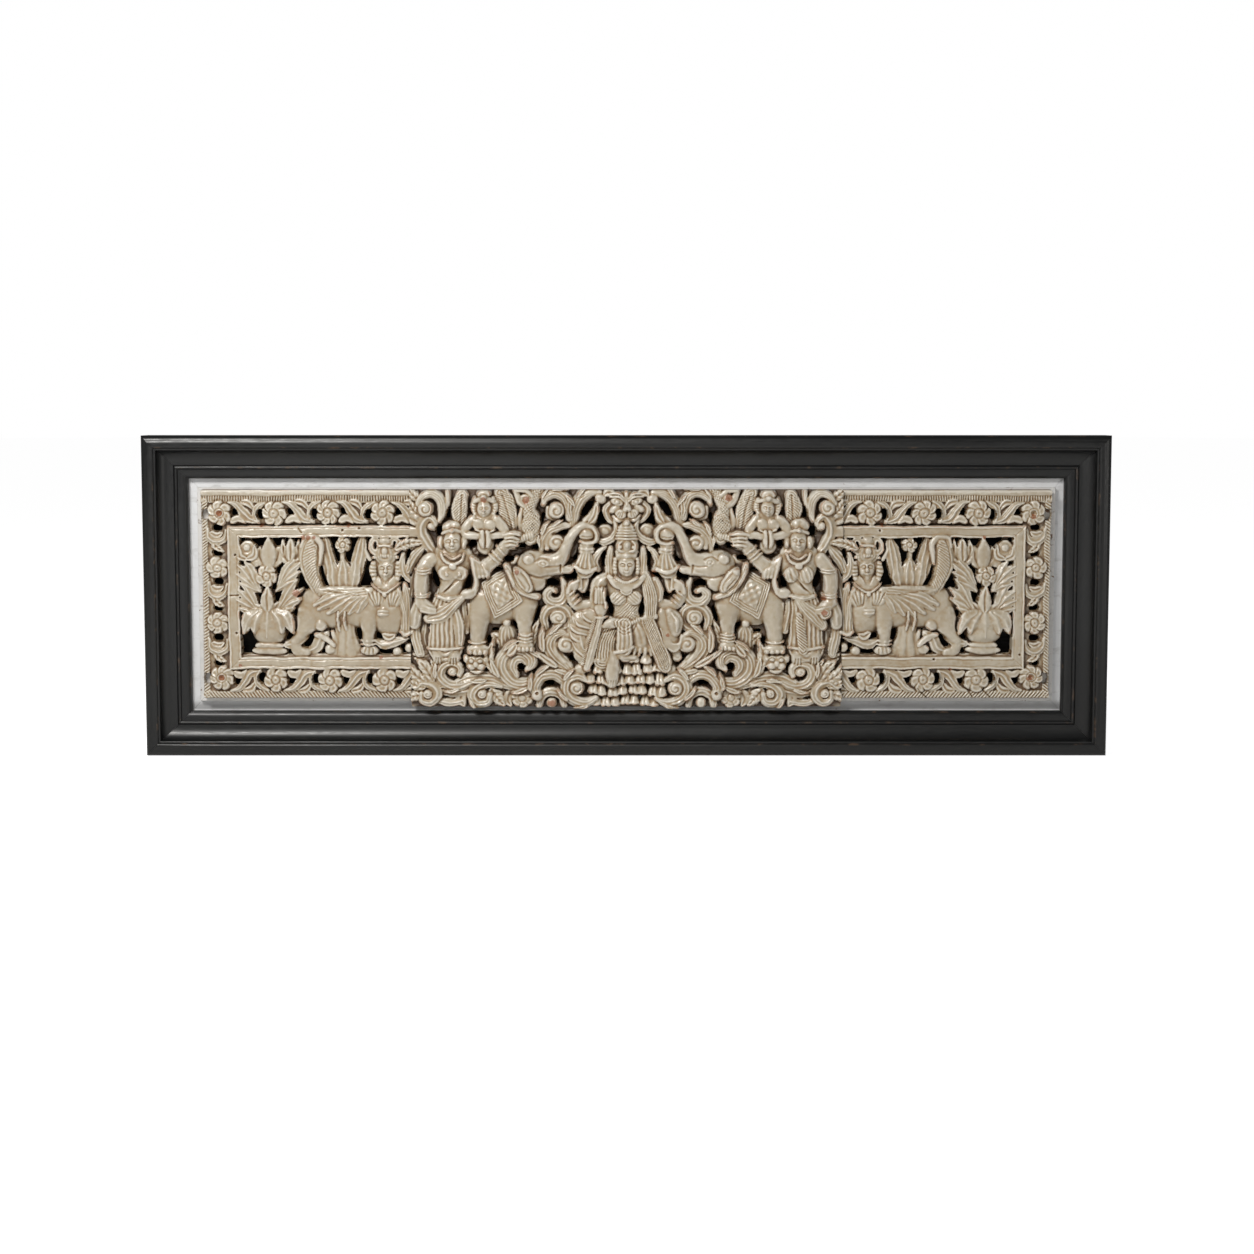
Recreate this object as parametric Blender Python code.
"""A long carved wooden wall panel, painted, in a black moulded frame with a white liner.

Metres, +Z up. The panel faces -Y, and its origin is the middle of the backing board's back, on the wall.
Every size below is in millimetres, and "out" is how far a thing stands out from the wall.
"""

import math

import bmesh
import bpy
import numpy as np

MM = 0.001

# The frame: four mitred rails round a rebate that holds the liner and the backing board
FRAME_LENGTH = 1520.0
FRAME_HEIGHT = 506.0
RAIL_WIDTH = 68.0
FRAME_FRONT = 62.0
SIGHT_EDGE_FRONT = 31.0
REBATE_WIDTH = 8.0

# What lies in the frame, from the wall out
BOARD_THICKNESS = 6.0
LINER_THICKNESS = 15.7
BATTEN_THICKNESS = 9.7
BATTEN_WIDTH = 20.0
BATTEN_SEAT = 17.0
BATTEN_SHOW_ENDS = 8.0
BATTEN_SHOW_TOP = 3.0
BATTEN_SHOW_BOTTOM = 7.0

# The carving: a middle block between two wings
CENTRE_WIDTH = 680.0
CENTRE_RELIEF = 47.0
CENTRE_HANG = 14.0
WING_RELIEF = 27.0

# How far the wings stay inside the frame's sight edge
END_MARGIN = 22.3
TOP_MARGIN = 17.0
FOOT_MARGIN = 23.0

# Gaps between neighbours
FACE_GAP = 0.3
REBATE_PLAY = 0.5
BLOCK_JOINT = 1.0

# How finely the carving is cut here
CUT_STEP = 3.3
CENTRE_TRIANGLES = 5300
WING_TRIANGLES = 2100

# The sheets that the carving is drawn on, about the frame's middle: left, right, bottom, top, depth
CENTRE_SHEET = (-340.0, 340.0, -176.0, 168.0, 47.0)
WING_SHEET = (-669.7, -341.0, -162.0, 168.0, 27.0)
CENTRE_GROUND = 11.0
THINNEST = 7.0
NARROWEST_GAP = 7.0
FLUTE_DEPTH = 1.5


def clear_scene():
    for obj in list(bpy.data.objects):
        bpy.data.objects.remove(obj, do_unlink=True)


def paint(name, colour, roughness):
    material = bpy.data.materials.new(name)
    material.use_nodes = True
    shader = material.node_tree.nodes["Principled BSDF"]
    shader.inputs["Base Color"].default_value = (*colour, 1.0)
    shader.inputs["Roughness"].default_value = roughness
    shader.inputs["Metallic"].default_value = 0.0
    return material


def add_object(name, bm, material):
    bmesh.ops.recalc_face_normals(bm, faces=bm.faces[:])
    mesh = bpy.data.meshes.new(name)
    bm.to_mesh(mesh)
    bm.free()
    mesh.materials.append(material)
    obj = bpy.data.objects.new(name, mesh)
    bpy.context.scene.collection.objects.link(obj)
    return obj


# Rings of four mitred members

def quarter(start, end, across_first, steps):
    """The points after start of a quarter of an ellipse that ends at end."""
    points = []
    for k in range(1, steps + 1):
        turn = 0.5 * math.pi * k / steps
        slow, quick = 1 - math.cos(turn), math.sin(turn)
        across, rise = (quick, slow) if across_first else (slow, quick)
        points.append((start[0] + (end[0] - start[0]) * across, start[1] + (end[1] - start[1]) * rise))
    return points


def moulding_face():
    """The frame's face as shares: across from the outer edge, and up from the sight edge to the crest."""
    face = [(0.0, 0.0), (0.0, 0.68)]
    face += quarter(face[-1], (0.12, 0.97), False, 4)
    face += [(0.18, 1.0), (0.25, 1.0), (0.295, 0.94), (0.295, 0.89), (0.335, 0.89), (0.335, 0.82)]
    face += quarter(face[-1], (0.69, 0.29), False, 6)
    bead_from, bead_to, bead_rise = 0.70, 0.78, 0.07
    for k in range(5):
        turn = math.pi * k / 4
        across = bead_from + (bead_to - bead_from) * (1 - math.cos(turn)) / 2
        face.append((across, 0.26 + bead_rise * math.sin(turn)))
    face += [(0.79, 0.21), (0.825, 0.21)]
    face += quarter(face[-1], (0.97, 0.08), True, 4)
    face.append((1.0, 0.0))
    return face[1:]


def frame_profile(liner_front):
    """The rail's section as (share of its width, out), round from the outer edge at the wall."""
    rebate = 1 - REBATE_WIDTH / RAIL_WIDTH
    rise = FRAME_FRONT - SIGHT_EDGE_FRONT
    front = [(across, SIGHT_EDGE_FRONT + rise * up) for across, up in moulding_face()]
    return [(0.0, 0.0), *front, (1.0, liner_front + FACE_GAP), (rebate, liner_front + FACE_GAP), (rebate, 0.0)]


def slip_profile(back, front):
    """A plain slip with its front edges eased."""
    arris, ease = 0.04, 0.8
    face = [(0.0, front - ease), (arris, front), (1.0 - arris, front), (1.0, front - ease)]
    return [(0.0, back), *face, (1.0, back)]


def mitred_ring(prefix, outer, inner, profile, material):
    """Four members between two rectangles (left, right, bottom, top), each cut at its corners."""
    cut = FACE_GAP / math.sqrt(2)
    sides = {"left": 0, "right": 1, "bottom": 2, "top": 3}
    for side, index in sides.items():
        upright = index < 2
        first, last = (2, 3) if upright else (0, 1)
        bm = bmesh.new()
        ends = []
        for end, toward in ((first, cut), (last, -cut)):
            loop = []
            for share, out in profile:
                across = outer[index] + share * (inner[index] - outer[index])
                along = outer[end] + share * (inner[end] - outer[end]) + toward
                x, z = (across, along) if upright else (along, across)
                loop.append(bm.verts.new((x * MM, -out * MM, z * MM)))
            ends.append(loop)
        near, far = ends
        for k in range(len(profile)):
            following = (k + 1) % len(profile)
            bm.faces.new((near[k], near[following], far[following], far[k]))
        bm.faces.new(near)
        bm.faces.new(far)
        obj = add_object(f"{prefix}_{side}", bm, material)
        obj.data.shade_smooth()
        obj.data.set_sharp_from_angle(angle=math.radians(30))


# Carving

class Sheet:
    """A block's face. height[row, column] is how far the wood stands out of its back, and 0 is cut right through.

    While both is set, each form is carved a second time, mirrored about the panel's middle.
    """

    def __init__(self, drawn, step, ground):
        self.left, self.right, self.bottom, self.top, self.depth = drawn
        self.x = np.linspace(self.left, self.right, round((self.right - self.left) / step) + 1)
        self.z = np.linspace(self.bottom, self.top, round((self.top - self.bottom) / step) + 1)
        self.height = np.full((len(self.z), len(self.x)), ground)
        self.both = False

    def carve(self, middle_x, reach_x, middle_z, reach_z, height_at, cut=False):
        """Brings the wood up to height_at(x, z), or down to it. It gives NaN outside the form."""
        for side in (1, -1) if self.both else (1,):
            columns = np.abs(side * self.x - middle_x) <= reach_x
            rows = np.abs(self.z - middle_z) <= reach_z
            if not columns.any() or not rows.any():
                continue
            part = np.ix_(rows, columns)
            new = height_at(*np.meshgrid(side * self.x[columns], self.z[rows]))
            here = self.height[part]
            changed = np.where(np.isnan(new), here, np.minimum(here, new)) if cut else np.fmax(here, new)
            self.height[part] = changed


def spread(mask, reach):
    """The mask grown by reach cells all round."""
    grown = mask.copy()
    rows, columns = mask.shape
    for down in range(-reach, reach + 1):
        for along in range(-reach, reach + 1):
            if down * down + along * along > reach * reach + 1:
                continue
            into = (slice(max(down, 0), rows + min(down, 0)), slice(max(along, 0), columns + min(along, 0)))
            source = (slice(max(-down, 0), rows + min(-down, 0)), slice(max(-along, 0), columns + min(-along, 0)))
            grown[into] |= mask[source]
    return grown


def fill_narrow_gaps(sheet):
    """Leaves thin wood in any gap that is too narrow for a carver to pierce."""
    carved = sheet.height > 0
    reach = max(1, round(NARROWEST_GAP / 2 / (sheet.x[1] - sheet.x[0])))
    closed = ~spread(~spread(carved, reach), reach)
    sheet.height[closed & ~carved] = THINNEST


def curve_through(points, steps=6):
    """Points of any length along a smooth curve through the given ones, by Catmull and Rom's rule."""
    p = np.array(points, float)
    if len(p) == 2:
        return p[0] + (p[1] - p[0]) * np.linspace(0, 1, steps + 1)[:, None]
    p = np.vstack([2 * p[0] - p[1], p, 2 * p[-1] - p[-2]])
    t = np.linspace(0, 1, steps, endpoint=False)[:, None]
    spans = []
    for a, b, c, d in zip(p, p[1:], p[2:], p[3:]):
        bend = (2 * a - 5 * b + 4 * c - d) * t**2 + (3 * b - a - 3 * c + d) * t**3
        spans.append(0.5 * (2 * b + (c - a) * t + bend))
    return np.vstack([*spans, p[-2]])


def limb(sheet, points, crest, drop=None, flutes=0):
    """A rounded strip along points (x, z, half width). crest is its height, or its heights from start to end."""
    line = curve_through(points)
    x, z, half = line[:, 0], line[:, 1], np.maximum(line[:, 2], 1.0)
    levels = np.atleast_1d(crest)
    tops = np.interp(np.linspace(0, 1, len(line)), np.linspace(0, 1, len(levels)), levels)
    widest = half.max()

    def height_at(gx, gz):
        best = np.full(gx.shape, np.inf)
        top = np.zeros(gx.shape)
        fall = np.ones(gx.shape)
        for k in range(len(x) - 1):
            dx, dz = x[k + 1] - x[k], z[k + 1] - z[k]
            t = np.clip(((gx - x[k]) * dx + (gz - z[k]) * dz) / max(dx * dx + dz * dz, 1e-9), 0, 1)
            width = half[k] + t * (half[k + 1] - half[k])
            off = np.hypot(gx - x[k] - t * dx, gz - z[k] - t * dz) / width
            nearer = off < best
            best = np.where(nearer, off, best)
            top = np.where(nearer, tops[k] + t * (tops[k + 1] - tops[k]), top)
            fall = np.where(nearer, np.minimum(width, 10.0) if drop is None else drop, fall)
        groove = FLUTE_DEPTH * np.cos(math.pi * flutes * (best + 1)) if flutes else 0
        height = top - fall * (1 - np.sqrt(np.maximum(1 - best**2, 0))) - groove
        return np.where(best <= 1, np.maximum(height, THINNEST), np.nan)

    middle_x, middle_z = (x.max() + x.min()) / 2, (z.max() + z.min()) / 2
    sheet.carve(middle_x, np.ptp(x) / 2 + widest, middle_z, np.ptp(z) / 2 + widest, height_at)


def boss(sheet, x, z, width, height, crest, drop=None, turn=0.0):
    """A rounded lump: an ellipse of these half sizes, turned by turn degrees."""
    fall = min(width, height) * 0.9 if drop is None else drop
    cos, sin = math.cos(math.radians(turn)), math.sin(math.radians(turn))
    reach = max(width, height)

    def height_at(gx, gz):
        u = ((gx - x) * cos + (gz - z) * sin) / width
        v = ((gz - z) * cos - (gx - x) * sin) / height
        off = u * u + v * v
        rounded = crest - fall * (1 - np.sqrt(np.maximum(1 - off, 0)))
        return np.where(off <= 1, np.maximum(rounded, THINNEST), np.nan)

    sheet.carve(x, reach, z, reach, height_at)


def hole(sheet, x, z, width, height):
    """Cuts an oval hole right through."""
    def height_at(gx, gz):
        off = ((gx - x) / width) ** 2 + ((gz - z) / height) ** 2
        return np.where(off <= 1, 0, np.nan)

    sheet.carve(x, width, z, height, height_at, cut=True)


def leaf(sheet, points, width, crest, drop=3.0):
    """A pointed leaf along the line through points (x, z)."""
    line = curve_through(points, 5)
    share = np.linspace(0, 1, len(line))
    half = 1 + (width - 1) * np.sin(math.pi * share**0.75)
    limb(sheet, [(x, z, w) for (x, z), w in zip(line, half)], crest, drop)


def flower(sheet, x, z, radius, crest, petals=6):
    """A rosette of round petals about a boss."""
    for k in range(petals):
        angle = 2 * math.pi * k / petals
        px, pz = x + 0.6 * radius * math.cos(angle), z + 0.6 * radius * math.sin(angle)
        boss(sheet, px, pz, 0.42 * radius, 0.42 * radius, crest, 3)
    boss(sheet, x, z, 0.36 * radius, 0.36 * radius, crest + 1, 3)


def band(sheet, x0, z0, x1, z1, half, crest):
    """A straight flat strip."""
    reach_x, reach_z = (abs(x1 - x0) / 2, half) if z0 == z1 else (half, abs(z1 - z0) / 2)
    rounding = 0.01

    def height_at(gx, gz):
        return np.full(gx.shape, crest)

    sheet.carve((x0 + x1) / 2, reach_x + rounding, (z0 + z1) / 2, reach_z + rounding, height_at)


def ground_holes(sheet):
    """Where the ground of the middle block is sawn through: x, z and the half sizes."""
    sheet.both = True
    for x, z, width, height in (
        (-104, 101, 9, 6), (-111, 69, 11, 7), (-37, 122, 8, 17), (-36, 58, 6, 13), (-50, 36, 9, 6),
        (-82, 64, 6, 7), (-90, 31, 14, 6), (-121, 21, 14, 8), (-62, 3, 8, 6), (-94, -15, 11, 7),
        (-26, -15, 7, 18), (-62, 138, 8, 13), (-131, 124, 5, 10), (-83, -90, 6, 13), (-122, -137, 9, 6),
        (-282, 136, 6, 13), (-292, 104, 8, 9), (-240, 136, 6, 8), (-200, 137, 6, 9), (-242, 80, 9, 8),
        (-201, 90, 13, 6), (-186, 58, 12, 8), (-139, 80, 9, 9), (-206, 40, 9, 8), (-228, 27, 10, 6),
        (-300, 28, 7, 14), (-251, 24, 7, 12), (-336, 8, 6, 9), (-258, -4, 6, 8), (-311, -46, 6, 10),
        (-336, -80, 7, 9), (-284, -84, 9, 7), (-142, -27, 6, 14), (-176, -54, 7, 11), (-216, -76, 7, 14),
        (-258, -118, 8, 9), (-146, -93, 9, 8), (-162, -113, 8, 7), (-214, -142, 12, 6), (-155, -148, 7, 6),
    ):
        hole(sheet, x, z, width, height)
    sheet.both = False


def elephant(sheet):
    boss(sheet, -200, 0, 49, 43, 33, 24, 26)
    boss(sheet, -163, -2, 27, 40, 34, 20)
    limb(sheet, [(-224, -10, 24), (-232, -36, 17), (-234, -60, 13), (-234, -90, 14)], [33, 35], 16)
    limb(sheet, [(-160, -20, 19), (-159, -44, 11.5), (-158, -82, 11.5)], [34, 38], 12)
    boss(sheet, -140, 49, 31, 25, 41, 20, -12)
    boss(sheet, -154, 59, 12, 12, 43, 8)
    boss(sheet, -139, 27, 19, 20, 38, 12)
    trunk_root = [(-128, 50, 18), (-113, 54, 14), (-102, 63, 10.5), (-96, 76, 8.5)]
    trunk_curl = [(-88, 92, 8), (-78, 106, 7.5), (-64, 112, 6.5), (-51, 107, 5), (-47, 95, 4.5), (-56, 84, 4)]
    limb(sheet, trunk_root + trunk_curl, [41, 39, 38], 9)
    limb(sheet, [(-134, 42, 11), (-108, 43, 8), (-84, 43, 7)], [39, 36], 6)
    limb(sheet, [(-189, 51, 5), (-178, 27, 5), (-162, 9, 5), (-140, 1, 5)], [38, 42], 3)
    boss(sheet, -162, 28, 11, 24, 45, 4, 35)
    for x, z in ((-208, -6), (-195, 16), (-184, -4)):
        boss(sheet, x, z, 17, 19, 37, 2)
    limb(sheet, [(-247, 10, 3), (-253, -20, 5), (-251, -50, 3)], 24, 4)
    limb(sheet, [(-188, -42, 6), (-187, -58, 14), (-186, -76, 16)], 24, 8)
    boss(sheet, -236, -106, 18, 15, 35, 10)


def attendant(sheet, x, side):
    """An attendant seen from the front, the raised arm on the side given."""
    def at(offset):
        return x + side * offset

    limb(sheet, [(at(-9), 4, 21), (at(-12), -16, 25), (at(-13), -44, 26), (at(-13), -78, 27)], [35, 37, 34], 13)
    limb(sheet, [(at(-36), -34, 4), (at(-12), -26, 7), (at(12), -2, 4)], 41, 4)
    boss(sheet, at(-25), -92, 13, 14, 34, 9)
    boss(sheet, at(1), -93, 13, 14, 34, 9)
    limb(sheet, [(at(0), 58, 32), (at(-1), 44, 27), (at(-4), 24, 21), (at(-8), 6, 20)], [35, 38, 37], 12)
    limb(sheet, [(at(-30), 2, 4), (at(-8), -1, 5), (at(14), 2, 4)], [36, 42, 36], 3)
    for offset in (-11, 11):
        boss(sheet, at(offset), 36, 12, 12, 41, 5)
    limb(sheet, [(at(0), 76, 10), (at(0), 62, 12)], 36, 8)
    boss(sheet, at(0), 92, 18, 22, 34, 12)
    boss(sheet, at(0), 87, 13, 18, 41, 9)
    boss(sheet, at(-1), 111, 15, 11, 36, 7)
    for offset in (-18, 18):
        boss(sheet, at(offset), 85, 6, 11, 36, 5)
    limb(sheet, [(at(-34), 58, 11), (at(-46), 46, 11), (at(-51), 22, 10.5)], [35, 36.5, 37], 9)
    limb(sheet, [(at(-51), 22, 10.5), (at(-51), 0, 9.5), (at(-42), -15, 10), (at(-30), -20, 8)], [37, 39, 40], 9)
    limb(sheet, [(at(-54), -12, 9), (at(-59), -28, 11), (at(-61), -42, 9)], 36, 8)
    limb(sheet, [(at(34), 56, 9), (at(42), 44, 12), (at(46), 34, 8)], [38, 38], 8)
    limb(sheet, [(at(50), 46, 12), (at(62), 56, 11), (at(76), 72, 10), (at(90), 86, 11)], [38, 40], 9)
    limb(sheet, [(at(98), 92, 7), (at(124), 96, 6)], 35, 4)
    limb(sheet, [(at(72), 58, 4), (at(86), 51, 6), (at(100), 60, 4)], 25, 4)
    boss(sheet, at(23), 5, 13, 9, 37, 6)
    limb(sheet, [(at(32), 6, 6), (at(37), 29, 4)], 37, 4)
    limb(sheet, [(at(14), -8, 6), (at(20), -54, 6)], 28, 4)
    limb(sheet, [(at(-62), -44, 9), (at(-60), -66, 9), (at(-54), -90, 8)], 24, 4)


def celestial(sheet, x=-222):
    """The small half figure with folded arms between two wings, over the elephant's back."""
    limb(sheet, [(x - 39, 116, 10), (x - 40, 138, 13), (x - 36, 160, 10)], 27, 6)
    limb(sheet, [(x + 44, 98, 6), (x + 38, 120, 13), (x + 34, 142, 15), (x + 26, 162, 12)], 27, 6)
    limb(sheet, [(x + 1, 122, 20), (x + 1, 108, 19), (x + 1, 92, 15)], [33, 34, 32], 12)
    for side in (-1, 1):
        folded = [(18, 121, 8), (28, 110, 8), (30, 99, 7), (6, 96, 6)]
        limb(sheet, [(x + side * offset, z, half) for offset, z, half in folded], [34, 39], 6)
    boss(sheet, x + 1, 82, 13, 15, 35, 10)
    limb(sheet, [(x + 1, 100, 8), (x + 1, 80, 8)], 40, 7)
    boss(sheet, x, 141, 16, 19, 31, 10)
    boss(sheet, x, 139, 11, 14, 39, 8)
    boss(sheet, x, 160, 12, 9, 38, 6)


def pot_and_rear_arm(sheet):
    boss(sheet, -62.5, 98, 12, 11.5, 38, 8)
    limb(sheet, [(-62, 82, 9), (-62, 68, 9), (-63, 58, 13), (-64, 44, 18)], [38, 37, 40], 9, 3)
    limb(sheet, [(-33, 79, 4), (-42, 70, 6), (-49, 56, 6), (-44, 42, 5)], 32, 4)
    limb(sheet, [(-66, 38, 9), (-70, 24, 10), (-70, 12, 8)], 34, 6)
    boss(sheet, -82, 18, 9, 10, 37, 6, -30)
    limb(sheet, [(-90, 12, 7), (-86, 0, 9), (-78, -12, 9), (-64, -14, 9), (-52, -10, 9)], [34, 31], 8)


def top_scrolls(sheet):
    arch = [(-131, 146, 4), (-126, 156, 7), (-112, 163, 8), (-98, 157, 9), (-91, 142, 8), (-88, 124, 7)]
    limb(sheet, arch, [30, 32, 31], 5, 2)
    boss(sheet, -110, 136, 12, 12, 35, 9)
    limb(sheet, [(-84, 113, 7), (-80, 134, 10), (-72, 152, 10), (-58, 162, 7), (-42, 163, 6)], [29, 31], 6, 2)
    leaf(sheet, [(-66, 114), (-54, 124), (-46, 150)], 11, 33, 5)
    boss(sheet, -41, 154, 9, 8, 33, 5)
    limb(sheet, [(-134, 66, 4), (-130, 88, 8), (-119, 104, 9), (-102, 111, 7), (-90, 112, 5)], [28, 32, 30], 5, 2)
    boss(sheet, -110, 84, 12, 13, 33, 9)
    boss(sheet, -33, 103, 13, 12, 25, 6)
    limb(sheet, [(-50, 90, 4), (-37, 86, 6), (-23, 92, 6), (-15, 106, 5), (-18, 122, 4)], [30, 33, 31], 4)
    tassel = [(-148, 92, 12), (-149, 106, 16), (-148, 122, 13), (-152, 138, 10), (-147, 154, 10), (-138, 168, 12)]
    limb(sheet, tassel, [31, 32, 29], 8)
    limb(sheet, [(-174, 166, 5), (-168, 152, 7), (-158, 148, 8)], 29, 4)


def foot_scrolls(sheet):
    stem = [(-266, -136, 7), (-244, -127, 9), (-212, -128, 9), (-190, -138, 9), (-164, -143, 8), (-140, -132, 7)]
    limb(sheet, stem, 27, 5)
    great_out = [(-128, -126, 6), (-150, -136, 10), (-176, -138, 11), (-194, -122, 12), (-196, -101, 12)]
    great_in = [(-183, -86, 11), (-164, -84, 10), (-150, -94, 9), (-149, -107, 7)]
    limb(sheet, great_out + great_in, [28, 32, 33], 6, 3)
    leaf(sheet, [(-204, -124), (-216, -96), (-210, -68)], 12, 30, 5)
    small_out = [(-246, -134, 6), (-264, -142, 8), (-284, -139, 9), (-294, -124, 9)]
    small_in = [(-288, -109, 8), (-273, -105, 7), (-262, -113, 6)]
    limb(sheet, small_out + small_in, [28, 31], 5, 2)
    boss(sheet, -274, -119, 8, 8, 32)
    under = [(-302, -106, 6), (-306, -126, 7), (-297, -145, 8), (-276, -153, 8), (-254, -150, 7), (-242, -144, 6)]
    limb(sheet, under, 24, 4)
    hooked = [(-198, -141, 5), (-215, -138, 8), (-233, -141, 9), (-243, -154, 9), (-236, -167, 8), (-221, -167, 7)]
    limb(sheet, hooked, [28, 30], 5, 2)
    boss(sheet, -226, -153, 8, 8, 31)
    leaf(sheet, [(-214, -148), (-204, -160), (-192, -174)], 13, 24, 5)
    flower(sheet, -165, -160, 17, 25)
    crook = [(-141, -156, 8), (-144, -141, 9), (-134, -127, 10), (-116, -122, 10), (-101, -130, 9), (-96, -142, 7)]
    limb(sheet, crook, [33, 31, 29], 6, 2)
    hood = [(-138, -170, 6), (-134, -158, 7), (-118, -150, 7), (-102, -158, 7), (-98, -170, 6)]
    limb(sheet, hood, [26, 29, 26], 5)
    boss(sheet, -118, -168, 8, 8, 27)
    volute_out = [(-48, -160, 5), (-64, -168, 7), (-82, -164, 9), (-95, -149, 10)]
    volute_in = [(-91, -132, 9), (-76, -125, 8), (-63, -131, 5)]
    limb(sheet, volute_out + volute_in, [30, 34, 32], 6, 2)
    boss(sheet, -79, -144, 9, 9, 33)
    plume_out = [(-80, -122, 5), (-92, -112, 9), (-110, -98, 14), (-121, -80, 15)]
    plume_in = [(-117, -64, 12), (-104, -57, 9), (-93, -60, 6)]
    limb(sheet, plume_out + plume_in, [28, 33, 34], 7, 3)
    boss(sheet, -95, -75, 12, 12, 38, 9)
    limb(sheet, [(-126, -54, 7), (-135, -76, 8), (-130, -98, 8), (-112, -114, 7)], 26, 5)
    round_out = [(-126, -52, 6), (-130, -36, 8), (-122, -20, 8), (-106, -14, 8)]
    round_in = [(-91, -22, 8), (-88, -38, 7), (-98, -50, 7)]
    limb(sheet, round_out + round_in, [27, 31], 5)
    boss(sheet, -107, -33, 11, 11, 34)
    hip_out = [(-102, 29, 4), (-96, 14, 7), (-96, 0, 9), (-105, -9, 9)]
    hip_in = [(-119, -8, 9), (-126, 3, 8), (-119, 12, 6)]
    limb(sheet, hip_out + hip_in, [29, 31], 6, 2)
    leaf(sheet, [(-152, -88), (-147, -60), (-138, -36)], 10, 27, 4)


def corner_foliage(sheet):
    for root, tip in (((-306, -130), (-334, -102)), ((-318, -142), (-342, -122)), ((-320, -156), (-342, -166))):
        middle = ((root[0] + tip[0]) / 2, (root[1] + tip[1]) / 2 + 4)
        leaf(sheet, [root, middle, tip], 12, 27, 5)
    curl = [(-331, -144, 6), (-320, -137, 8), (-304, -142, 9), (-299, -156, 8), (-309, -168, 7), (-322, -164, 6)]
    limb(sheet, curl, [28, 30], 5, 2)
    boss(sheet, -313, -154, 8, 8, 31)
    limb(sheet, [(-292, 120, 4), (-288, 136, 8), (-291, 152, 9), (-303, 162, 8), (-317, 160, 7)], [29, 31], 5, 2)
    boss(sheet, -315, 139, 11, 11, 35)
    bow = [(-302, 110, 5), (-310, 125, 7), (-321, 114, 9), (-322, 98, 9), (-314, 84, 9), (-303, 68, 8)]
    limb(sheet, bow, [31, 28], 5)
    leaf(sheet, [(-322, 126), (-334, 136), (-342, 158)], 13, 27, 5)
    limb(sheet, [(-340, 102, 9), (-331, 102, 9)], 24, 3)


def joint_flourish(sheet):
    """The foliage that runs on over the joint between the middle block and a wing."""
    leaf(sheet, [(-364, 74), (-344, 84), (-318, 84)], 12, 26, 4)
    limb(sheet, [(-318, 78, 5), (-330, 66, 9), (-338, 54, 9), (-344, 38, 8)], [24, 22], 5)
    limb(sheet, [(-350, 20, 6), (-346, -4, 8), (-346, -28, 9), (-348, -56, 10)], 23, 4)


def lion_mask(sheet):
    boss(sheet, 0, 142, 37, 26, 27, 8)
    for side in (-1, 1):
        limb(sheet, [(side * 4, 148, 6), (side * 13, 160, 7), (side * 26, 155, 6)], [34, 35, 30], 4)
        boss(sheet, side * 14, 140, 12, 8, 35, 5)
        boss(sheet, side * 15, 127, 11, 8, 38, 6)
        limb(sheet, [(side * 26, 146, 6), (side * 33, 136, 6), (side * 24, 118, 5)], 28, 4)
    limb(sheet, [(0, 162, 7), (0, 136, 8)], [34, 41], 4)


def throne(sheet):
    """Rows of lotus petals under the seat, each row lower and less proud than the one above it."""
    rows = ((-166, 62, 9, 24), (-150, 56, 8, 28), (-133, 60, 9, 31), (-117, 60, 8, 33), (-101, 44, 6, 34))
    for index, (z, half, count, crest) in enumerate(rows):
        limb(sheet, [(-half, z + 5, 9), (half, z + 5, 9)], crest - 6, 3)
        pitch = 2 * half / count
        for k in range(count):
            x = -half + pitch * (k + 0.5 + 0.25 * (index % 2))
            boss(sheet, x, z, pitch * 0.56, 10, crest, 5)


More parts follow.
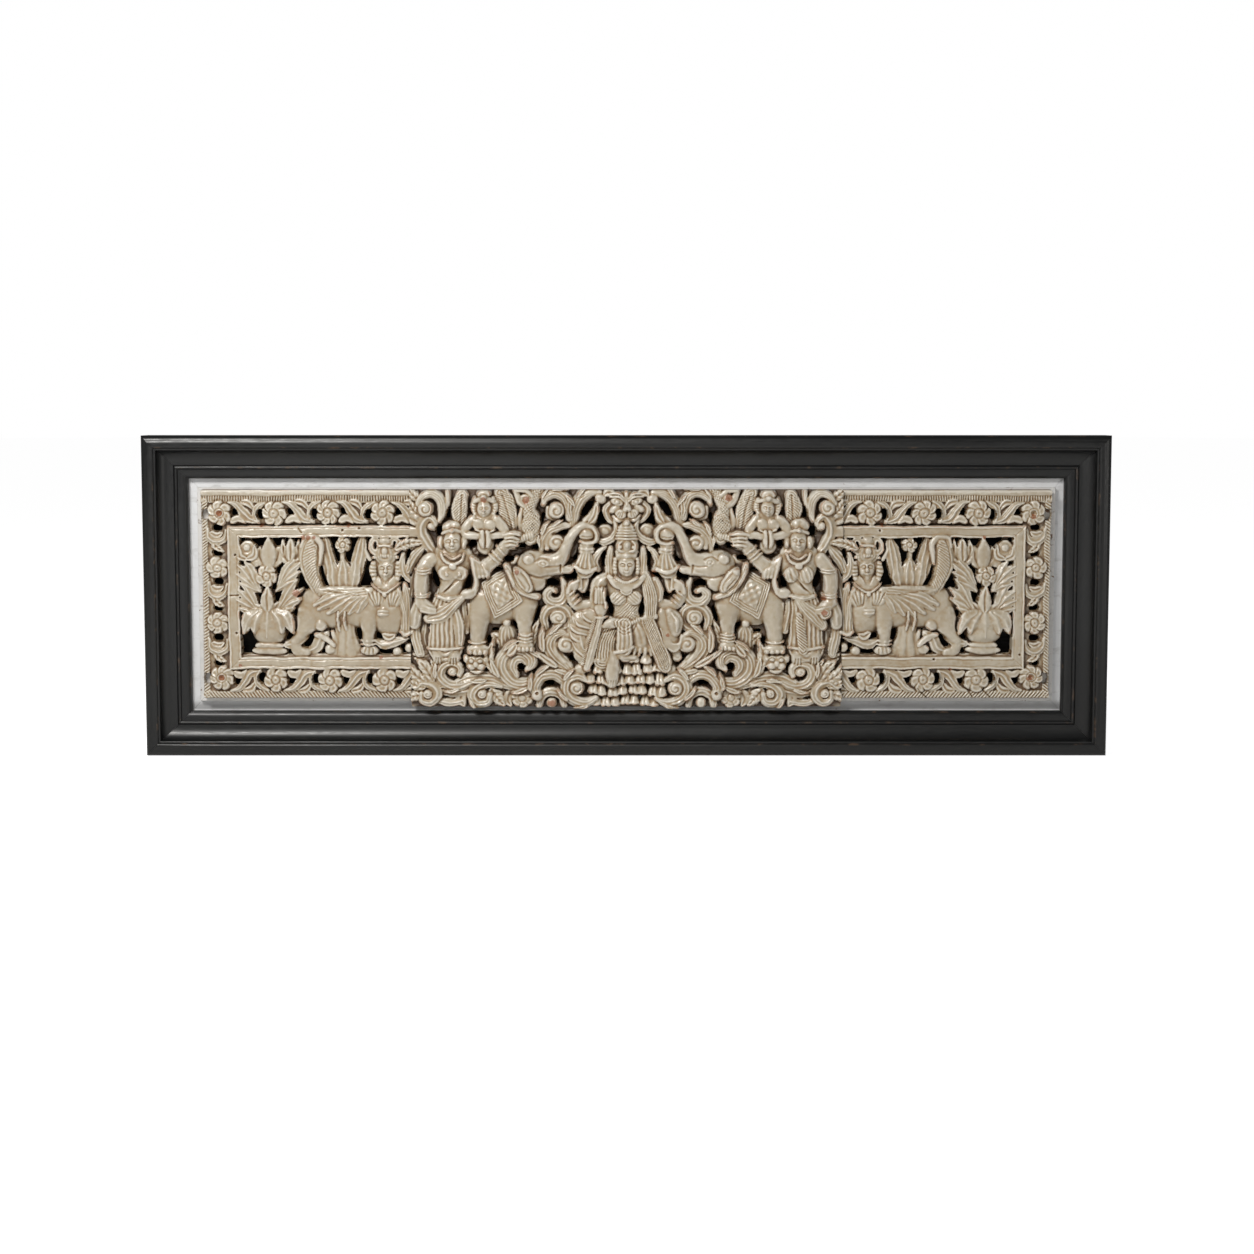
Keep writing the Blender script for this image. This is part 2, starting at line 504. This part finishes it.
def goddess(sheet):
    boss(sheet, -74, -40, 21, 24, 31, 9)
    limb(sheet, [(-60, -30, 17), (-64, -58, 16), (-62, -84, 13), (-60, -98, 9)], [31, 32, 30], 9, 3)
    boss(sheet, 74, -40, 14, 22, 35, 10)
    limb(sheet, [(58, -30, 14), (62, -54, 16), (68, -76, 15), (76, -94, 8)], [28, 31], 8, 3)
    for x in (-70, 68):
        boss(sheet, x, -114, 10, 10, 31)
    limb(sheet, [(-42, -32, 6), (-48, -62, 6), (-56, -92, 7), (-61, -110, 7)], [39, 40, 38], 4)
    limb(sheet, [(32, -42, 9), (42, -70, 10), (56, -100, 11)], [38, 40, 37], 5)
    limb(sheet, [(-20, -42, 11), (-31, -62, 15), (-38, -84, 18), (-40, -96, 18)], [36, 38, 36], 7, 3)
    limb(sheet, [(14, -44, 11), (22, -58, 14), (22, -78, 14)], [36, 37, 34], 7, 3)
    limb(sheet, [(-3, -42, 12), (-3, -62, 12), (-4, -82, 12)], [42, 43, 42], 4)
    limb(sheet, [(-20, -90, 9), (-21, -106, 11), (-22, -122, 11), (-22, -135, 8)], [41, 42, 38], 8)
    limb(sheet, [(0, 26, 34), (0, 10, 28), (0, -8, 23), (0, -24, 20), (0, -38, 24)], [35, 38, 37], 11)
    limb(sheet, [(-25, -34, 4), (0, -41, 4), (25, -34, 4)], [35, 42, 35], 3)
    for side in (-1, 1):
        boss(sheet, side * 13.5, -3, 13, 13, 43, 8)
        limb(sheet, [(side * 25, 77, 5), (side * 26, 60, 8), (side * 26, 37, 7)], [32, 35], 4)
    limb(sheet, [(-28, 33, 5), (-16, 22, 7), (0, 17, 7), (16, 22, 7), (28, 33, 5)], [39, 43, 39], 3)
    limb(sheet, [(-32, 32, 8), (-42, 22, 11), (-48, 6, 10), (-49, -14, 9), (-46, -32, 8)], [35, 37, 34], 8)
    boss(sheet, -41, -18, 10, 14, 41, 7)
    limb(sheet, [(-41, -8, 9), (-41, 13, 9)], [42, 43], 3)
    limb(sheet, [(30, 36, 7), (34, 18, 10), (38, -4, 11), (38, -30, 10)], [37, 41, 39], 6, 3)
    limb(sheet, [(44, 26, 7), (50, 8, 9), (50, -6, 8)], [34, 35], 6)
    limb(sheet, [(0, 42, 10), (0, 30, 12)], [38, 39], 7)
    boss(sheet, 0, 57, 20, 25, 33, 9)
    boss(sheet, 0, 51.5, 12, 17, 44, 8)
    limb(sheet, [(0, 68, 17), (0, 80, 17), (0, 92, 15), (0, 106, 12), (0, 117, 6)], [42, 43, 40], 9)
    boss(sheet, 0, 81, 6, 9, 46, 4)


def carve_centre(sheet):
    ground_holes(sheet)
    sheet.both = True
    foot_scrolls(sheet)
    corner_foliage(sheet)
    top_scrolls(sheet)
    joint_flourish(sheet)
    celestial(sheet)
    elephant(sheet)
    sheet.both = False
    throne(sheet)
    lion_mask(sheet)
    sheet.both = True
    pot_and_rear_arm(sheet)
    sheet.both = False
    goddess(sheet)
    attendant(sheet, -272, 1)
    attendant(sheet, 270, -1)


def wing_border(sheet):
    """Rope edges, flowers and leaves round three sides, and the plain fillet inside them."""
    left, right, bottom, top = sheet.left, sheet.right, sheet.bottom, sheet.top
    ground, rope, fillet = 9, 14, 19
    for z in (top - 34, bottom + 28):
        band(sheet, left, z, right, z, 20, ground)
    band(sheet, left + 24, top, left + 24, bottom, 22, ground)
    band(sheet, left, top - 10, right, top - 10, 10, rope)
    band(sheet, left, bottom + 6, right, bottom + 6, 6, rope)
    band(sheet, left + 5, top, left + 5, bottom, 5, rope)
    upper, lower, end = top - 37, bottom + 29, left + 27
    flowers = [(x, z) for x in (-554, -468, -381) for z in (upper, lower)]
    for x, z in flowers:
        for side in (-1, 1):
            hole(sheet, x + side * 21, z, 8, 9)
    for x in (-597, -512, -426):
        for z, up in ((upper, 1), (lower, -1)):
            for side in (-1, 1):
                spine = [(x, z - 14 * up), (x + side * 10, z - 2 * up), (x + side * 24, z + 15 * up)]
                leaf(sheet, spine, 8, 17, 5)
    for z in (88, 2, -84):
        limb(sheet, [(end - 14, z + 14, 4), (end - 7, z, 6), (end + 13, z + 4, 4)], 16, 4)
    for x, z in flowers + [(end + 3, 129), (end + 3, -129), (end, 45), (end, -42)]:
        flower(sheet, x, z, 19, 20)
    fillet_top, fillet_bottom, fillet_end, half = top - 66, bottom + 56, left + 52, 9.5
    for z in (fillet_top, fillet_bottom):
        band(sheet, fillet_end - half, z, right, z, half, fillet)
    band(sheet, fillet_end, fillet_top, fillet_end, fillet_bottom, half, fillet)


def vase(sheet):
    limb(sheet, [(-592, -88, 6), (-541, -88, 6)], 19, 3)
    limb(sheet, [(-585, -79, 5), (-548, -79, 5)], 18, 3)
    boss(sheet, -567, -58, 24, 21, 23, 14)
    for tip in ((-604, -62), (-568, -66), (-532, -66)):
        middle = (tip[0] * 0.6 - 567 * 0.4, -34)
        leaf(sheet, [(-567, -22), middle, tip], 12, 26, 6)
    low, high = (-566, -16), (-563, 12)
    for base, tip in ((low, (-606, 18)), (low, (-516, 24)), (high, (-607, 50)), (high, (-522, 54))):
        middle = ((base[0] + tip[0]) / 2, (base[1] + tip[1]) / 2 - 3)
        leaf(sheet, [base, middle, tip], 14, 19, 6)
    boss(sheet, -566, -2, 12, 16, 24, 8)
    flower(sheet, -563, 33, 17, 22, 5)
    boss(sheet, -592, 74, 15, 16, 19, 10)
    leaf(sheet, [(-560, 44), (-560, 72), (-560, 95)], 15, 20, 7)
    boss(sheet, -582, 54, 10, 10, 15, 5)
    leaf(sheet, [(-528, 46), (-528, 70), (-528, 92)], 15, 19, 6)


def beast(sheet):
    """A winged beast with a crowned woman's head, standing, with a plume for a tail."""
    for base, tip in ((-462, -477), (-430, -411)):
        leaf(sheet, [(base, 14), ((base + tip) / 2, 50), (tip, 96)], 12, 15, 5)
    leaf(sheet, [(-445, 14), (-446, 38), (-445, 64)], 16, 18, 6)
    limb(sheet, [(-445, 56, 5), (-445, 72, 5)], 13, 3)
    flower(sheet, -445, 80, 13, 18, 5)
    limb(sheet, [(-492, 6, 9), (-503, 28, 11), (-504, 52, 16), (-498, 78, 16)], [20, 22], 9)
    boss(sheet, -490, -18, 27, 36, 22, 14)
    limb(sheet, [(-488, -14, 28), (-450, -18, 31), (-410, -18, 34)], [22, 24], 15)
    boss(sheet, -376, -22, 31, 42, 25, 16)
    limb(sheet, [(-494, -30, 22), (-508, -48, 12), (-528, -70, 9), (-514, -86, 9)], [21, 19], 9)
    limb(sheet, [(-480, -44, 9), (-482, -66, 9), (-494, -84, 8)], 18, 6)
    boss(sheet, -469, -84, 9, 9, 16, 5)
    limb(sheet, [(-405, -28, 18), (-405, -52, 11), (-404, -74, 9)], [24, 22], 9)
    boss(sheet, -402, -86, 14, 9, 21, 6)
    limb(sheet, [(-444, -52, 17), (-444, -92, 20)], 15, 8)
    limb(sheet, [(-396, -66, 4), (-372, -72, 11), (-344, -66, 4)], 18, 6)
    boss(sheet, -360, -86, 9, 8, 16, 5)
    boss(sheet, -343, -80, 8, 9, 15, 5)
    for k in range(4):
        share = k / 3
        tip = (-458 - 34 * math.sin(0.4 + 2.1 * share), 8 - 34 * share)
        root = (-408, 6 - 10 * share)
        leaf(sheet, [root, ((root[0] + tip[0]) / 2, (root[1] + tip[1]) / 2 + 4), tip], 9, 26 + 0.3 * k)
    for side in (-1, 1):
        boss(sheet, -380 + side * 13, -5, 15, 17, 26.5, 6)
        limb(sheet, [(-380 + side * 20, 52, 5), (-380 + side * 18, 28, 5)], 23, 4)
        limb(sheet, [(-380 + side * 22, 62, 5), (-380 + side * 20, 92, 5)], 20, 4)
    limb(sheet, [(-380, 34, 12), (-380, 16, 16)], 25, 7)
    boss(sheet, -380, 48, 18, 24, 22, 9)
    boss(sheet, -380, 41, 12, 17, 27, 7)
    limb(sheet, [(-380, 60, 18), (-380, 72, 13)], 26, 7)
    boss(sheet, -380, 84, 11, 12, 24, 7)


def carve_wing(sheet):
    wing_border(sheet)
    for z, crest in ((-95, 13), (94, 11)):
        limb(sheet, [(-609, z, 5), (sheet.right, z, 5)], crest, 1)
    beast(sheet)
    vase(sheet)
    joint_flourish(sheet)


def largest_island(solid):
    """Of the cells that are wood, those of the largest group that touch side to side."""
    island = np.zeros(solid.shape, int)
    sizes = [0]
    for start in zip(*np.nonzero(solid)):
        if island[start]:
            continue
        label = len(sizes)
        island[start] = label
        waiting = [start]
        sizes.append(0)
        while waiting:
            row, column = waiting.pop()
            sizes[label] += 1
            for r, c in ((row + 1, column), (row - 1, column), (row, column + 1), (row, column - 1)):
                inside = 0 <= r < solid.shape[0] and 0 <= c < solid.shape[1]
                if inside and solid[r, c] and not island[r, c]:
                    island[r, c] = label
                    waiting.append((r, c))
    return island == int(np.argmax(sizes))


def wooden_cells(height):
    """Which cells are wood: those with two corners carved, joined where they only touch at a corner."""
    carved = (height > 0).astype(int)
    corners = carved[:-1, :-1] + carved[1:, :-1] + carved[:-1, 1:] + carved[1:, 1:]
    solid = corners >= 2
    for _ in range(3):
        a, b, c, d = solid[:-1, :-1], solid[1:, 1:], solid[1:, :-1], solid[:-1, 1:]
        falling = a & b & ~c & ~d
        rising = c & d & ~a & ~b
        solid[1:, :-1] |= falling
        solid[:-1, :-1] |= rising
    return largest_island(solid)


def ease_rim(bm, passes=3):
    """Draws the stepped rim of the cut sheet into a smooth line, and leaves the block's own straight sides."""
    rim = [v for v in bm.verts if v.is_boundary]
    for _ in range(passes):
        eased = {}
        for v in rim:
            near = [e.other_vert(v).co for e in v.link_edges if e.is_boundary]
            eased[v] = v.co * 0.5 + sum(near, v.co * 0) * (0.5 / len(near))
        for v, co in eased.items():
            v.co = co


def carved_block(name, drawn, ground, real, forms, triangles, material, mirrored=False):
    """Carves the drawn sheet and scales it to the real box: left, right, bottom, top, back, front."""
    sheet = Sheet(drawn, CUT_STEP, ground)
    forms(sheet)
    fill_narrow_gaps(sheet)
    rows, columns = sheet.height.shape
    solid = wooden_cells(sheet.height)
    bm = bmesh.new()
    bmesh.ops.create_grid(bm, x_segments=columns - 1, y_segments=rows - 1, size=1.0)
    for v in bm.verts:
        column = round((v.co.x + 1) / 2 * (columns - 1))
        row = round((v.co.y + 1) / 2 * (rows - 1))
        v.co = (column, row, max(sheet.height[row, column], THINNEST))
    pierced = []
    for face in bm.faces:
        corner = [min(v.co[axis] for v in face.verts) for axis in (1, 0)]
        if not solid[round(corner[0]), round(corner[1])]:
            pierced.append(face)
    bmesh.ops.delete(bm, geom=pierced, context="FACES")
    ease_rim(bm)
    back = bmesh.ops.extrude_face_region(bm, geom=bm.faces[:])
    for item in back["geom"]:
        if isinstance(item, bmesh.types.BMVert):
            item.co.z = 0
    left, right, bottom, top, rear, front = real
    side = -1 if mirrored else 1
    for v in bm.verts:
        x = left + (right - left) * v.co.x / (columns - 1)
        z = bottom + (top - bottom) * v.co.y / (rows - 1)
        out = rear + (front - rear) * v.co.z / sheet.depth
        v.co = (side * x * MM, -out * MM, z * MM)
    bmesh.ops.triangulate(bm, faces=bm.faces[:])
    count = len(bm.faces)
    obj = add_object(name, bm, material)
    fewer = obj.modifiers.new("fewer_facets", "DECIMATE")
    fewer.ratio = triangles / count
    return obj


def main():
    clear_scene()
    black = paint("black_frame_paint", (0.035, 0.034, 0.033), 0.38)
    white = paint("white_liner_paint", (0.74, 0.74, 0.72), 0.55)
    dark = paint("dark_backing_board", (0.03, 0.027, 0.024), 0.9)
    cream = paint("cream_carving_paint", (0.60, 0.54, 0.45), 0.4)

    half_length, half_height = FRAME_LENGTH / 2, FRAME_HEIGHT / 2
    outer = (-half_length, half_length, -half_height, half_height)
    sight = tuple(v - math.copysign(RAIL_WIDTH, v) for v in outer)
    in_rebate = tuple(v + math.copysign(REBATE_WIDTH - REBATE_PLAY, v) for v in sight)

    liner_back = BOARD_THICKNESS + FACE_GAP
    liner_front = liner_back + LINER_THICKNESS
    batten_back = liner_front + FACE_GAP
    batten_front = batten_back + BATTEN_THICKNESS
    carving_back = batten_front + FACE_GAP

    wing_bottom = sight[2] + FOOT_MARGIN
    wing_top = sight[3] - TOP_MARGIN
    wing_end = sight[1] - END_MARGIN
    joint = CENTRE_WIDTH / 2 + BLOCK_JOINT
    batten_outer = (
        -wing_end - BATTEN_SHOW_ENDS,
        wing_end + BATTEN_SHOW_ENDS,
        wing_bottom - BATTEN_SHOW_BOTTOM,
        wing_top + BATTEN_SHOW_TOP,
    )
    batten_inner = tuple(v - math.copysign(BATTEN_WIDTH, v) for v in batten_outer)
    liner_inner = tuple(v - math.copysign(BATTEN_SEAT, v) for v in batten_outer)

    mitred_ring("frame", outer, sight, frame_profile(liner_front), black)
    mitred_ring("liner", in_rebate, liner_inner, slip_profile(liner_back, liner_front), white)
    mitred_ring("batten", batten_outer, batten_inner, slip_profile(batten_back, batten_front), white)

    bm = bmesh.new()
    bmesh.ops.create_cube(bm, size=1.0)
    for v in bm.verts:
        x = in_rebate[0] if v.co.x < 0 else in_rebate[1]
        z = in_rebate[2] if v.co.z < 0 else in_rebate[3]
        out = 0.0 if v.co.y > 0 else BOARD_THICKNESS
        v.co = (x * MM, -out * MM, z * MM)
    add_object("backing_board", bm, dark)

    centre_box = (
        -CENTRE_WIDTH / 2,
        CENTRE_WIDTH / 2,
        wing_bottom - CENTRE_HANG,
        wing_top,
        carving_back,
        carving_back + CENTRE_RELIEF,
    )
    wing_box = (-wing_end, -joint, wing_bottom, wing_top, carving_back, carving_back + WING_RELIEF)
    carved_block("carved_centre", CENTRE_SHEET, CENTRE_GROUND, centre_box, carve_centre, CENTRE_TRIANGLES, cream)
    carved_block("carved_left_wing", WING_SHEET, 0.0, wing_box, carve_wing, WING_TRIANGLES, cream)
    carved_block("carved_right_wing", WING_SHEET, 0.0, wing_box, carve_wing, WING_TRIANGLES, cream, True)


main()
